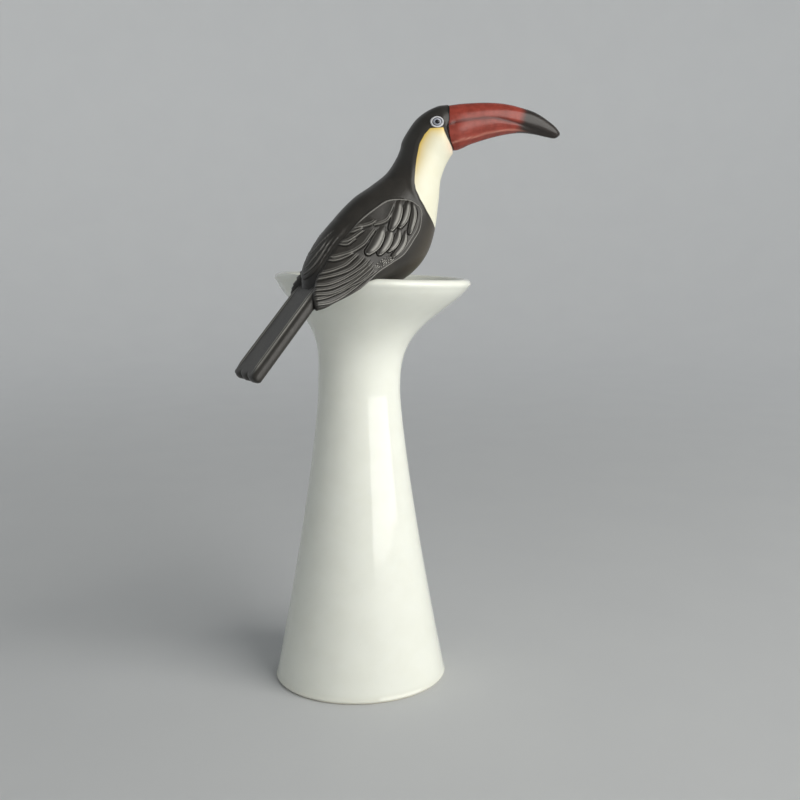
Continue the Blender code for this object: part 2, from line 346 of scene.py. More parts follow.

# Cast bisque painted in satin acrylics: a soft sheen, ridges lightened as painted highlight, glossier on
# beak and eye
paintedPlumage, tree, shader = newMaterial("painted bisque, satin")
where = addNode("TexCoord").outputs["Object"]


def painted(tone, *names):  # lays colours over a tone, each where the mask of its name says
    for name in names:
        tone = blendColour(mask(name), tone, plumageLook[name])
    return tone


cloud = noise(where, plumageLook["clouds"], 4.0, 0.6)
grain = noise(where, plumageLook["grain"], 3.0, 0.6)
worn = spread(cloud, 0.35, 0.75, 0.0, 0.7)
tone = blendColour(worn, plumageLook["plume"], plumageLook["plumeWorn"])
# painted shade in the grooves and over the rump, painted highlight on the ridges
tone = painted(tone, "breast", "hollow", "ridgeHighlight")

deep = spread(cloud, 0.3, 0.7, 0.0, 0.35)
ivory = blendColour(deep, plumageLook["ivory"], plumageLook["ivoryDeep"])
ivory = painted(ivory, "yellow", "blush")
tone = blendColour(spread(mask("throatEdge"), -0.12, 0.12), tone, ivory)

beakEdge = mask("beakEdge")
onBeak = spread(beakEdge, -0.1, 0.1)
beakCloud = spread(noise(where, plumageLook["beakClouds"], 4.0, 0.65), 0.3, 0.7)
red = blendColour(beakCloud, plumageLook["beak"], plumageLook["beakLight"])
tone = blendColour(onBeak, tone, painted(red, "beakDeep", "beakTip", "beakRidgeHighlight"))
baseLine = addNode("Math", {"operation": "ABSOLUTE"}, links={0: beakEdge}).outputs[0]
tone = blendColour(spread(baseLine, 0.55, 0.3), tone, plumageLook["baseLine"])

eyeAway = mask("eyeAway")
for colour, outer, inner in plumageLook["eye"]:
    tone = blendColour(spread(eyeAway, outer, inner), tone, colour)
feed("Base Color", tone)

rough = spread(grain, 0.3, 0.7, *plumageLook["satin"])
rough = blendNumber(onBeak, rough, plumageLook["beakGloss"])
rough = blendNumber(spread(eyeAway, 2.0, 1.8), rough, plumageLook["eyeGloss"])
feed("Roughness", rough)
shader.inputs["IOR"].default_value = 1.42
feed("Normal", addRelief(grain, 0.15, 0.15))
print("materials made")


# Stand: its half section is drawn point by point, spun about the axis, then swayed into its real form

standSizes = {
    "rimHeight": 179.8,
    "neckHeight": 129.4,
    "footRadius": 38.4,
    "neckRadius": 17.9,
    "mouthRadius": 41.9,
    "wall": 4.6,
    "footEdge": 1.8,
    "conePower": 1.27,
    "trumpetPower": 1.89,
    "footRoundness": 0.88,
    "mouthRoundness": 0.97,
    "ovalTurn": 7.5,
    "mouthShift": 6.3,
    "shiftPower": 1.2,
    "mouthTilt": 2.1,
    "socketRadius": 11.5,
    "socketTop": 129.925,
    "socketFloor": 104.925,
    "socketLip": 1.5,
    "socketFillet": 1.2,
    "roof": 98.925,  # of the hollow under the foot
    "roofFillet": 3.4,
    "footRing": 0.7,
    "sideLines": 150,
    "spinSteps": 176,
}


def rise(height, power):  # 0 at the neck, 1 at the rim
    s = standSizes
    share = np.clip((height - s["neckHeight"]) / (s["rimHeight"] - s["neckHeight"]), 0.0, 1.0)
    return np.sin(0.5 * math.pi * share**power) ** 2


def outsideRadius(height):
    s = standSizes
    above = s["neckRadius"] + (s["mouthRadius"] - s["neckRadius"]) * rise(height, s["trumpetPower"])
    drop = np.clip((s["neckHeight"] - height) / s["neckHeight"], 0.0, 1.0)
    below = s["neckRadius"] + (s["footRadius"] - s["neckRadius"]) * drop ** s["conePower"]
    return np.where(height >= s["neckHeight"], above, below)


def movedIn(side, depth):  # a side's points moved square to it, towards the axis
    along = np.gradient(side, axis=0)
    along /= np.linalg.norm(along, axis=1)[:, None]
    return side + depth * np.stack([along[:, 1], -along[:, 0]], axis=1)


def arcPoints(centre, radius, start, end, count):
    turns = np.radians(np.linspace(start, end, count))
    return [(centre[0] + radius * math.cos(t), centre[1] + radius * math.sin(t)) for t in turns]


def outsideLine(top, bottom, count):
    heights = np.linspace(top, bottom, count)
    return np.stack([outsideRadius(heights), heights], axis=1)


def standProfile():
    s = standSizes
    half = 0.5 * s["wall"]
    outside = outsideLine(s["rimHeight"] - half, s["footEdge"], s["sideLines"])
    inside = [tuple(p) for p in movedIn(outside, s["wall"])]
    bore, lip, fillet = s["socketRadius"], s["socketLip"], s["socketFillet"]
    edge, ring, corner = s["footEdge"], s["footRing"], s["roofFillet"]
    highest = s["rimHeight"] - half - 0.3
    funnel = [p for p in inside if p[0] > bore + lip and s["socketTop"] + lip < p[1] < highest]
    hollow = [p for p in inside if edge + 0.6 < p[1] < s["roof"] - 3.0]
    points = [(0.0, s["socketFloor"])]
    points += arcPoints((bore - fillet, s["socketFloor"] + fillet), fillet, -90, 0, 5)
    points += [(bore, h) for h in np.linspace(s["socketFloor"] + 3, s["socketTop"] - 1, 8)]
    points += arcPoints((bore + lip, s["socketTop"]), lip, 180, 105, 6)
    points += funnel[::-1]
    points += arcPoints((s["mouthRadius"] - half, s["rimHeight"] - half), half, 180, 0, 15)
    points += [tuple(p) for p in outside[1:]]
    points += arcPoints((s["footRadius"] - edge, edge), edge, 0, -90, 8)[1:]
    points += arcPoints((s["footRadius"] - s["wall"] - 0.4, ring), ring, -90, -180, 5)
    points += hollow[::-1]
    points += arcPoints((hollow[0][0] - corner, s["roof"] - corner), corner, 10, 90, 6)
    return points + [(0.0, s["roof"])]


def sway(spots):  # turns the round form oval, with its mouth shifted and tilted
    s = standSizes
    turn = math.radians(s["ovalTurn"])
    along = np.array([math.cos(turn), math.sin(turn)])
    height = spots[:, 2]
    up = rise(height, s["trumpetPower"])
    roundness = s["footRoundness"] + (s["mouthRoundness"] - s["footRoundness"]) * up
    flat = spots[:, :2]
    length = (flat @ along)[:, None] * along
    flat = length + roundness[:, None] * (flat - length)
    drop = math.tan(math.radians(s["mouthTilt"])) * flat[:, 0] * up
    shift = s["mouthShift"] * rise(height, s["shiftPower"])
    return np.stack([axisX + flat[:, 0] + shift, axisY + flat[:, 1], height - drop], axis=1)


def spinPiece(name, profile, steps):
    # Draws a half section from one vertex, extruding it from point to point, and spins it
    deselectAll()
    bpy.ops.mesh.primitive_plane_add(size=1 * mm)
    piece = newPiece(name)
    editAll(piece)
    bpy.ops.mesh.merge(type="CENTER")
    here = np.zeros(3)
    for i, (radius, height) in enumerate(profile):
        there = np.array([radius, 0.0, height])
        move = {"value": tuple((there - here) * mm)}
        if i == 0:
            bpy.ops.transform.translate(**move)
        else:
            bpy.ops.mesh.extrude_vertices_move(TRANSFORM_OT_translate=move)
        here = there
    bpy.ops.mesh.select_all(action="SELECT")
    bpy.ops.mesh.spin(steps=steps, angle=2 * math.pi, center=(0, 0, 0), axis=(0, 0, 1))
    bpy.ops.mesh.select_all(action="SELECT")
    bpy.ops.mesh.remove_doubles(threshold=0.004 * mm)
    faceOut()
    return piece


def addMask(piece, name, values):
    layer = piece.data.attributes.new(name, "FLOAT", "POINT")
    layer.data.foreach_set("value", np.asarray(values, float))


glazedStand = spinPiece("glazedStand", standProfile(), standSizes["spinSteps"])
spots = readSpots(glazedStand)
fromAxis, height = np.hypot(spots[:, 0], spots[:, 1]), spots[:, 2]
within = fromAxis < outsideRadius(height) - 0.6 * standSizes["wall"]
underside = within & (height < standSizes["roof"] + 1.0)
addMask(glazedStand, "bareClay", np.maximum(softStep(height, 0.9, 0.5), underside))
floor = standSizes["socketFloor"]
inSocket = (fromAxis < standSizes["socketRadius"] + 1.0) * softStep(height, floor + 8.0, floor)
addMask(glazedStand, "glazePool", np.clip(0.7 * bump(height, 1.6, 1.4) + 0.8 * inSocket, 0.0, 1.0))
writeSpots(glazedStand, sway(spots))
print("stand spun,", len(glazedStand.data.polygons), "faces")
glazedStand.data.materials.append(creamGlaze)
pick(glazedStand)
bpy.ops.object.shade_smooth_by_angle(angle=math.radians(50.0))


# Toucan: parts are shaped on a straight bird, in millimetres from its perch (along, aside, up),
# then turned to its pose and joined as one casting

perch = {
    "x": 6.0,
    "y": -28.604,
    "height": 178.0,
    "bodyTurn": 30.0,
    "headTurn": -20.0,
    "neckAxis": 21.0,
    "turnFrom": 30.0,
    "turnTo": 55.0,
    "seatGap": 0.3,
}


def turned(along, aside, angle):  # two coordinates, turned about their origin
    return along * np.cos(angle) - aside * np.sin(angle), aside * np.cos(angle) + along * np.sin(angle)


def headAngle(up):
    return math.radians(perch["headTurn"]) * softStep(up, perch["turnFrom"], perch["turnTo"])


def pose(spots):  # puts the straight bird on the rim, with its head turned
    along, aside, up = spots.T
    reach, aside = turned(along - perch["neckAxis"], aside, headAngle(up))
    x, y = turned(perch["neckAxis"] + reach, aside, math.radians(perch["bodyTurn"]))
    return np.stack([axisX + perch["x"] + x, axisY + perch["y"] + y, perch["height"] + up], axis=1)


def unpose(spots):  # the way back, to paint the finished casting
    x, y, up = (spots - (axisX + perch["x"], axisY + perch["y"], perch["height"])).T
    along, aside = turned(x, y, -math.radians(perch["bodyTurn"]))
    reach, aside = turned(along - perch["neckAxis"], aside, -headAngle(up))
    return np.stack([perch["neckAxis"] + reach, aside, up], axis=1)


bodyShape = {
    "rings": 150,
    "points": 100,
    # (back along, back up, belly along, belly up, half width) from rump to beak root
    "sections": (
        (-29.0, -1.0, -27.0, -6.0, 4.0),
        (-28.6, 3.0, -21.0, -5.8, 7.5),
        (-26.6, 9.0, -12.0, -4.8, 10.0),
        (-23.2, 14.6, -2.0, -4.0, 12.0),
        (-18.6, 20.6, 9.4, -1.3, 13.3),
        (-12.8, 27.2, 19.0, 4.2, 13.8),
        (-6.2, 33.0, 24.6, 10.6, 13.6),
        (2.2, 38.1, 27.6, 18.4, 12.8),
        (9.2, 43.3, 29.0, 26.4, 11.4),
        (12.8, 48.4, 30.1, 33.2, 10.1),
        (14.6, 52.3, 31.0, 40.0, 9.2),
        (15.6, 56.0, 33.2, 46.2, 8.8),
        (18.0, 60.0, 35.0, 49.4, 8.8),
        (21.2, 64.2, 36.0, 50.9, 8.8),
        (25.4, 67.4, 36.4, 51.6, 8.5),
        (30.0, 69.4, 36.7, 51.9, 7.9),
        (34.6, 70.0, 36.9, 52.1, 7.0),
    ),
}

# (along, up) round the throat's pale patch, and down the line where the beak starts
throatPatch = (
    (25.1, 59.9), (23.0, 57.6), (21.0, 54.1), (19.6, 49.6), (17.5, 43.6), (15.6, 38.9), (15.1, 36.0),
    (15.9, 32.3), (18.8, 27.8), (21.6, 24.8), (24.5, 22.0), (29.0, 19.5), (33.0, 22.0), (34.0, 40.0),
    (37.0, 51.6), (34.5, 53.6), (32.4, 56.4), (30.9, 58.9), (30.5, 60.3), (28.5, 60.1), (26.6, 60.0),
)
beakRoot = (
    (34.3, 72.0), (33.6, 69.0), (33.1, 66.1), (32.9, 63.3),
    (31.8, 60.5), (32.8, 57.4), (34.3, 54.6), (36.9, 51.0),
)

beakShape = {
    "rings": 120,
    "points": 80,
    # (along, top, bottom, half width) from root to tip
    "sections": (
        (26.5, 67.4, 55.4, 5.0),
        (31.5, 69.2, 53.6, 6.0),
        (36.5, 70.2, 52.3, 6.5),
        (44.0, 71.0, 55.0, 6.2),
        (51.0, 71.3, 57.2, 5.8),
        (58.0, 70.9, 58.9, 5.2),
        (64.5, 69.6, 59.7, 4.5),
        (70.0, 68.0, 59.3, 3.8),
        (75.5, 65.0, 58.3, 3.0),
        (79.3, 62.2, 57.9, 2.0),
        (80.9, 60.4, 58.9, 0.8),
    ),
    "grooveDepth": 0.45,
    "grooveWidth": 0.7,
    "ridgeHeight": 0.35,
    "ridgeWidth": 0.55,
    # (along, up) of the line between the halves of the bill, and of the ridge under it
    "groove": (
        (33.1, 61.9), (37.5, 63.1), (41.6, 63.9), (46.9, 64.5), (52.0, 64.7),
        (57.5, 63.9), (62.8, 62.8), (68.4, 61.0), (74.3, 59.2), (79.0, 58.6),
    ),
    "ridge": (
        (34.8, 54.8), (38.7, 56.0), (44.2, 57.3), (48.3, 58.6),
        (52.5, 59.5), (56.9, 60.2), (61.2, 60.5), (68.0, 59.9),
    ),
}


def ringLoft(name, rings, points):
    # A circle is extruded from section to section and fitted to each,
    # which is given as (along, up, half length, half width, tilt)
    deselectAll()
    bpy.ops.mesh.primitive_circle_add(vertices=points, radius=1 * mm, fill_type="NGON")
    piece = newPiece(name)
    editAll(piece)
    here, size, tilt = np.zeros(3), np.ones(2), 0.0
    for along, up, length, width, lean in rings:
        there = np.array([along, 0.0, up])
        move = {"value": tuple((there - here) * mm)}
        if here.any():
            bpy.ops.mesh.extrude_region_move(TRANSFORM_OT_translate=move)
        else:
            bpy.ops.transform.translate(**move)
        middle = tuple(there * mm)
        bpy.ops.transform.rotate(value=-tilt, orient_axis="Y", center_override=middle)
        bpy.ops.transform.resize(value=(length / size[0], width / size[1], 1.0), center_override=middle)
        bpy.ops.transform.rotate(value=lean, orient_axis="Y", center_override=middle)
        here, size, tilt = there, np.array([length, width]), lean
    faceOut()
    return piece


def ringOf(back, belly, width):  # one section as (along, up, half length, half width, tilt)
    across = np.subtract(back, belly)
    middle = 0.5 * np.add(back, belly)
    return (*middle, 0.5 * float(np.hypot(*across)), width, math.atan2(across[1], across[0]))


rows = smoothRows(bodyShape["sections"], bodyShape["rings"])
rings = [ringOf(row[:2], row[2:4], row[4]) for row in rows]
castBody = ringLoft("castBody", rings, bodyShape["points"])
rows = smoothRows(beakShape["sections"], beakShape["rings"])
rings = [ringOf(row[:2], (row[0], row[2]), row[3]) for row in rows]
beak = ringLoft("beak", rings, beakShape["points"])
print("body and beak lofted")

# The head ends in a curved line round the beak's root, and a soft ridge runs beside the throat
spots, normals = readSpots(castBody), readNormals(castBody)
root = np.array(beakRoot)
straight = np.interp(-spots[:, 2], (-70.0, -52.1), (34.6, 36.9))
dent = np.interp(-spots[:, 2], -root[:, 1], root[:, 0]) - straight
spots[:, 0] += dent * softStep(spots[:, 0], straight - 7.0, straight) * (spots[:, 2] > 50.0)
throat = insideLoop(spots[:, [0, 2]], throatPatch)
ridge = 0.4 * bump(throat, -1.4, 0.9) * softStep(spots[:, 2], 24.0, 34.0) * softStep(spots[:, 2], 60.0, 54.0)
writeSpots(castBody, spots + normals * (ridge * softStep(np.abs(normals[:, 1]), 0.2, 0.5))[:, None])

# Beak relief: the line between its halves, and the ridge that runs under it
spots, normals = readSpots(beak), readNormals(beak)
away = besideLine(spots[:, [0, 2]], beakShape["groove"])[0]
flank = softStep(np.abs(normals[:, 1]), 0.15, 0.5)
fade = softStep(spots[:, 0], 33.0, 36.0) * softStep(spots[:, 0], 80.0, 74.0)
relief = -beakShape["grooveDepth"] * bump(away, 0.0, beakShape["grooveWidth"]) * fade * flank
away = besideLine(spots[:, [0, 2]], beakShape["ridge"])[0]
raised = bump(away, 0.0, beakShape["ridgeWidth"]) * softStep(spots[:, 0], 70.0, 60.0)
relief += beakShape["ridgeHeight"] * raised * flank
writeSpots(beak, spots + normals * relief[:, None])


# Wings: a grid laid over the flank, carved with its feathers, then given its thickness

wingShape = {
    "bulge": 2.0,
    "bow": 1.9,  # how far the tip bows backwards
    "bowStart": 0.72,
    "thickness": 3.4,
    "edgeRound": 1.3,
    # Rows across the near wing from shoulder to tip: (upper along, up, aside, lower along, up, aside)
    "rows": (
        (14.4, 29.9, -13.2, 15.3, 26.6, -13.8),
        (11.4, 32.2, -12.5, 14.7, 20.8, -14.4),
        (6.0, 32.8, -11.0, 11.6, 15.8, -14.7),
        (1.4, 32.0, -10.2, 7.4, 10.6, -14.8),
        (-4.0, 28.8, -9.8, 2.0, 7.2, -14.6),
        (-9.6, 24.6, -9.2, -4.6, 3.2, -14.2),
        (-14.3, 19.8, -8.8, -10.2, -1.6, -13.5),
        (-18.5, 15.5, -8.2, -15.8, -4.8, -12.8),
        (-22.2, 10.9, -7.7, -21.2, -7.2, -12.3),
        (-25.6, 6.0, -7.0, -25.8, -9.4, -11.9),
        (-27.6, 3.2, -6.6, -28.9, -10.2, -11.5),
    ),
}

# Feathers of the near wing, in (along, up). Long ones are drawn by the edge that shows, from root to tip;
# the feather lies above its edge and covers the next one down
longFeathers = (
    ((-3.7, 5.5), (-7.8, 2.7), (-13.8, -1.6), (-18.7, -4.8), (-23.8, -7.1), (-29.6, -7.9)),
    ((-5.2, 6.5), (-9.9, 1.9), (-15.6, -1.0), (-21.3, -3.7), (-26.0, -5.3), (-30.2, -6.0)),
    ((-5.5, 7.3), (-10.0, 3.7), (-13.9, 0.9), (-18.7, -1.9), (-23.0, -3.5), (-30.3, -4.2)),
    ((-5.9, 8.6), (-10.0, 5.3), (-13.8, 2.4), (-18.6, 0.1), (-23.8, -1.8), (-30.0, -2.6)),
    ((-7.2, 9.7), (-10.4, 6.5), (-14.7, 3.7), (-19.8, 1.1), (-24.9, -0.5), (-29.4, -0.9)),
    ((-9.4, 10.4), (-11.9, 7.7), (-15.3, 5.2), (-20.4, 3.3), (-24.4, 2.3), (-28.8, 1.3)),
    ((-11.6, 11.3), (-14.0, 9.1), (-16.8, 6.9), (-20.2, 5.4), (-24.2, 4.1), (-27.9, 3.2)),
    (
        (-4.0, 20.8), (-6.7, 17.7), (-9.3, 14.7), (-11.5, 13.2),
        (-14.9, 11.4), (-18.2, 10.4), (-21.3, 9.7), (-22.8, 10.1),
    ),
    ((-13.3, 11.7), (-16.3, 10.1), (-18.7, 9.1), (-21.5, 8.5), (-23.3, 8.8)),
    ((-8.6, 20.1), (-10.8, 18.5), (-13.0, 16.9), (-15.0, 15.8), (-17.3, 15.6), (-18.2, 15.8)),
    ((-11.8, 17.0), (-13.5, 15.8), (-15.0, 14.7), (-16.8, 14.4), (-18.7, 14.9)),
    ((-3.5, 24.0), (-4.9, 22.7), (-7.9, 21.6), (-10.4, 21.0), (-12.9, 20.5), (-14.3, 19.8)),
    ((-8.8, 21.0), (-11.0, 20.0), (-12.6, 19.3), (-14.6, 19.3)),
    ((5.2, 30.4), (3.2, 27.0), (0.3, 23.6), (-2.5, 22.4), (-4.6, 22.0)),
)

# Short ones are leaves on a shaft, from root to tip: (half width, points), each over the ones before it
shortFeathers = (
    (0.95, ((7.2, 19.6), (6.5, 16.0), (4.5, 13.0), (1.9, 10.5))),
    (1.15, ((4.7, 20.4), (3.6, 16.8), (1.9, 14.3), (0.0, 12.7))),
    (1.55, ((1.3, 20.4), (-0.1, 16.8), (-2.0, 13.9), (-3.8, 11.8))),
    (1.75, ((-1.9, 20.8), (-3.8, 17.3), (-6.2, 13.9), (-8.3, 12.0))),
    (1.0, ((11.2, 30.3), (11.1, 26.7), (10.1, 22.8), (8.9, 19.4))),
    (1.4, ((9.4, 30.7), (8.2, 27.5), (6.6, 24.1), (5.1, 21.9))),
    (1.6, ((6.2, 30.7), (4.8, 27.0), (3.0, 23.2), (1.6, 21.0))),
)

carving = {
    "step": 0.46,  # how far a feather stands over the next
    "slope": 1.4,  # mm over which it falls back to it
    "edgeFade": 0.14,
    "reach": (4.0, 1.5),  # mm from its edge between which it rises to its full step
    "rim": 0.22,
    "rimPlace": 0.24,
    "rimWidth": 0.17,
    "secondRim": 0.09,
    "secondPlace": 0.95,
    "groove": 0.30,
    "groovePlace": -0.22,
    "grooveWidth": 0.20,
    "lift": 0.42,
    "crown": 0.26,
    "lean": 0.26,  # how far a leaf's front edge stands up
    "border": 0.24,  # the two raised lines round the wing
    "borderPlaces": (0.7, 2.2),
    "borderWidth": 0.21,
    # Patch of fine down: (along, up) of its middle and its half size, and how it slopes
    "downMiddle": (-1.2, 8.4),
    "downSize": (5.0, 1.7),
    "downSlope": 0.43,
    "downHeight": 0.24,
}


def flankGrid(lines, columns):  # the flank that the near wing lies on, as a grid of (along, aside, up)
    w = wingShape
    rows = smoothRows(w["rows"], lines)
    share = np.linspace(0.0, 1.0, columns)[None, :, None]
    upper, lower = rows[:, None, [0, 2, 1]], rows[:, None, [3, 5, 4]]
    flank = upper + share * (lower - upper)
    arch = 4.0 * share[:, :, 0] * (1.0 - share[:, :, 0])
    bow = w["bow"] * softStep(np.linspace(0.0, 1.0, lines), w["bowStart"], 1.0)
    flank[:, :, 0] -= bow[:, None] * arch
    flank[:, :, 1] -= w["bulge"] * arch
    return flank


def wingOutline():  # (along, up) round the near wing
    flat = flankGrid(200, 100)[:, :, [0, 2]]
    return np.concatenate([flat[::4, 0], flat[-1, ::4], flat[::-4, -1], flat[0, ::-8]])


def carveWing(flat):
    # Height of the carving at flat spots (along, up), with how far each is a crest that takes painted
    # highlight or a hollow that takes painted shade
    c = carving
    height = np.zeros(len(flat))
    ridgeHighlight = np.zeros(len(flat))
    hollow = np.zeros(len(flat))
    for line in longFeathers:
        away, side, share = besideLine(flat, line)
        over = away * -side  # positive above the edge, on the feather
        ends = softStep(share, 0.0, 0.12)
        lie = ends * softStep(over, -c["edgeFade"], c["edgeFade"])
        lie = lie * np.exp(-np.clip(over, 0.0, None) / c["slope"]) * softStep(away, *c["reach"])
        rim = ends * bump(over, c["rimPlace"], c["rimWidth"])
        second = ends * bump(over, c["secondPlace"], c["rimWidth"])
        dip = ends * bump(over, c["groovePlace"], c["grooveWidth"])
        height += c["step"] * lie + c["rim"] * rim + c["secondRim"] * second - c["groove"] * dip
        # each rim is given painted highlight
        ridgeHighlight = np.maximum(ridgeHighlight, np.maximum(0.7 * rim, 0.25 * second))
        # the groove under each edge is given painted shade
        hollow = np.maximum(hollow * (1 - 0.7 * lie), dip)
    for width, shaft in shortFeathers:
        away, side, share = besideLine(flat, shaft)
        taper = (0.75 + 0.5 * np.sin(math.pi * np.clip(share, 0.0, 1.0) * 0.85)) * (1.0 - 0.25 * share**3)
        half = width * taper
        inside = half - away
        across = away * side / half  # -1 at the rear edge, 1 at the front edge
        root = softStep(share, 0.02, 0.3)
        cover = softStep(inside, -0.12, 0.16)
        crown = np.sin(0.5 * math.pi * np.clip(inside / width, 0.0, 1.0))
        leaf = c["lift"] * (0.4 + 0.6 * share) + c["crown"] * crown + c["lean"] * np.clip(across, -1.0, 1.0)
        front = 0.15 + 0.85 * softStep(across, -0.3, 0.4)
        rim = bump(inside, c["rimPlace"], c["rimWidth"]) * root * front
        # shine: a painted highlight streak along the leaf's front slope
        shine = bump(across, 0.35, 0.3) * softStep(share, 0.0, 0.15) * softStep(share, 1.0, 0.8)
        dip = bump(inside, -0.2, c["grooveWidth"]) * root
        height = height * (1 - cover) + cover * leaf + c["rim"] * rim - c["groove"] * 1.3 * dip
        ridgeHighlight = np.maximum(ridgeHighlight * (1 - cover), np.maximum(rim, 0.7 * shine * cover))
        # the groove round each leaf is given painted shade
        hollow = np.maximum(hollow * (1 - cover), dip)
    # A patch of fine down at the front, under the short feathers
    along, up = flat[:, 0], flat[:, 1]
    ahead = along - c["downMiddle"][0]
    level = up - c["downMiddle"][1] - c["downSlope"] * ahead
    patch = softStep(np.hypot(ahead / c["downSize"][0], level / c["downSize"][1]), 1.1, 0.7)
    wisps = np.sin(4.1 * up + 2.2 * np.sin(1.9 * along)) * np.sin(3.3 * along + 1.9 * np.sin(2.6 * up))
    height = height + c["downHeight"] * patch * wisps
    # the tops of the down take painted highlight
    ridgeHighlight = np.maximum(ridgeHighlight, 0.8 * patch * softStep(wisps, 0.1, 0.7))
    return height, ridgeHighlight, hollow


carved = []  # the crests and hollows of each carved part, for the painted highlight and painted shade on the casting


def plateOf(name, columns, lines):
    # A flat plate of two grids, to be laid over a form, with each spot's column, line and underside
    deselectAll()
    bpy.ops.mesh.primitive_grid_add(x_subdivisions=columns - 1, y_subdivisions=lines - 1, size=1 * mm)
    piece = newPiece(name)
    editAll(piece)
    extrudeUp(-1)
    bpy.ops.object.mode_set(mode="OBJECT")
    spots = readSpots(piece)
    column = np.rint((spots[:, 0] + 0.5) * (columns - 1)).astype(int)
    line = np.rint((spots[:, 1] + 0.5) * (lines - 1)).astype(int)
    return piece, column, line, spots[:, 2] < -0.5


def outwardOf(grid):  # the direction square to a grid of spots, before its sign is set
    outward = np.cross(np.gradient(grid, axis=0), np.gradient(grid, axis=1))
    return outward / np.linalg.norm(outward, axis=2)[:, :, None]


def layPlate(piece, spots, ridgeHighlight, hollow):  # gives a plate its spots, and notes its crests and hollows
    writeSpots(piece, spots)
    editAll(piece)
    faceOut()
    carved.append((pose(spots), ridgeHighlight, hollow))
    return piece


def makeWing(name, side, lines, columns):  # side -1 is the near wing, 1 the far one
    w, c = wingShape, carving
    piece, column, line, under = plateOf(name, lines, columns)
    flank = flankGrid(lines, columns)
    outward = outwardOf(flank)
    outward *= -np.sign(outward[:, :, 1])[:, :, None]
    flank, outward = flank[column, line], outward[column, line]
    flat = flank[:, [0, 2]]
    height, ridgeHighlight, hollow = carveWing(flat)
    rimAway = insideLoop(flat, wingOutline())
    edge = np.clip(rimAway / w["edgeRound"], 0.0, 1.0)
    inner = softStep(rimAway, 0.1, 1.2)
    height = height * inner - w["edgeRound"] * (1.0 - np.sqrt(1.0 - (1.0 - edge) ** 2))
    first, second = (bump(rimAway, place, c["borderWidth"]) for place in c["borderPlaces"])
    front = softStep(flat @ np.array([0.8, -0.6]), -6.0, 0.0)
    first = first * softStep(flat[:, 0], -17.0, -8.0)  # it fades along the rear of the wing
    height += c["border"] * (first + 0.6 * second * front * softStep(flat[:, 1], 8.0, 14.0))
    # the border lines take painted highlight
    ridgeHighlight = np.maximum(ridgeHighlight * inner, 0.6 * first + 0.5 * second * front)
    height = np.where(under, -w["thickness"], height)
    spots = flank + outward * height[:, None]
    if side > 0:
        spots[:, 1] *= -1.0
    return layPlate(piece, spots, ridgeHighlight, hollow * inner)


nearWing = makeWing("nearWing", -1, 276, 140)
farWing = makeWing("farWing", 1, 150, 80)
print("wings carved")


# Back: feathers that lie over the rump between the wings and end in a rounded edge above the tail

backShape = {
    "along": 130,
    "across": 76,
    "reach": 44.0,  # how far up the back it goes, from the rump
    "turn": 62.0,  # how far round the body, in degrees each way from its middle
    "fade": 22.0,  # mm over which it starts
    "step": 0.45,
    "sink": 1.2,
    "depth": 3.0,
    "sections": 400,
    # (way up the back from the rump, aside) of its edge, and of the feathers on it
    "edge": (
        (48.0, 8.4), (40.0, 8.2), (30.0, 7.9), (22.1, 7.4), (14.9, 7.0),
        (8.6, 6.2), (5.0, 4.6), (2.8, 2.0), (2.0, 0.0),
    ),
    "feathers": (
        ((22.8, 6.3), (19.2, 5.9), (13.6, 5.7), (8.5, 4.5), (5.3, 2.0), (4.2, 0.0)),
        ((21.0, 5.0), (18.6, 4.6), (14.6, 4.1), (10.7, 3.0), (7.6, 1.2), (6.8, 0.0)),
        ((25.2, 5.0), (23.4, 4.3), (19.8, 3.2), (16.9, 2.1), (13.6, 0.9), (12.6, 0.0)),
    ),
}


def makeBack():
    b, c = backShape, carving
    piece, column, line, under = plateOf("back", b["along"], b["across"])
    rows = smoothRows(bodyShape["sections"], b["sections"])
    place = wayAlong(rows[:, :2])
    wanted = np.linspace(0.0, b["reach"], b["along"])
    rows = np.stack([np.interp(wanted, place, rows[:, i]) for i in range(5)], axis=1)
    turn = np.radians(np.linspace(-b["turn"], b["turn"], b["across"]))
    back, belly = rows[:, None, :2], rows[:, None, 2:4]
    middle = 0.5 * (back + belly)
    section = middle + 0.5 * np.cos(turn)[None, :, None] * (back - belly)
    aside = rows[:, 4, None] * np.sin(turn)[None, :]
    grid = np.stack([section[:, :, 0], aside, section[:, :, 1]], axis=2)
    core = np.stack([middle[:, :, 0], np.zeros_like(middle[:, :, 0]), middle[:, :, 1]], axis=2)
    outward = outwardOf(grid)
    outward *= np.sign(np.einsum("ijk,ijk->ij", outward, grid - core))[:, :, None]
    up = np.repeat(wanted[:, None], b["across"], axis=1)[column, line]
    grid, outward = grid[column, line], outward[column, line]
    flat = np.stack([up, np.abs(grid[:, 1])], axis=1)
    away, side = besideLine(flat, b["edge"])[:2]
    within = away * side
    height = softStep(within, -0.25, 0.35) * softStep(up, b["reach"], b["reach"] - b["fade"])
    level = b["step"] * height - b["sink"] * (1.0 - height)
    ridgeHighlight = np.zeros(len(height))
    # painted shade along the plate's edge
    hollow = bump(within, -0.3, 0.5) * softStep(up, b["reach"] - 12.0, b["reach"] - 26.0)
    for feather in b["feathers"]:
        away, side, share = besideLine(flat, feather)
        over = away * side
        ends = softStep(share, 0.0, 0.25) * height
        rim = bump(over, c["rimPlace"], c["rimWidth"]) * ends
        dip = bump(over, c["groovePlace"], c["grooveWidth"]) * ends
        level += c["rim"] * rim - c["groove"] * dip
        # the rims take painted highlight, the grooves painted shade
        ridgeHighlight, hollow = np.maximum(ridgeHighlight, 0.4 * rim), np.maximum(hollow, dip)
    level = np.where(under, -b["depth"], level)
    return layPlate(piece, grid + outward * level[:, None], ridgeHighlight, hollow)


back = makeBack()
print("back carved")


# Tail: a plate with its feather lines, rounded at its sides and scalloped at its end

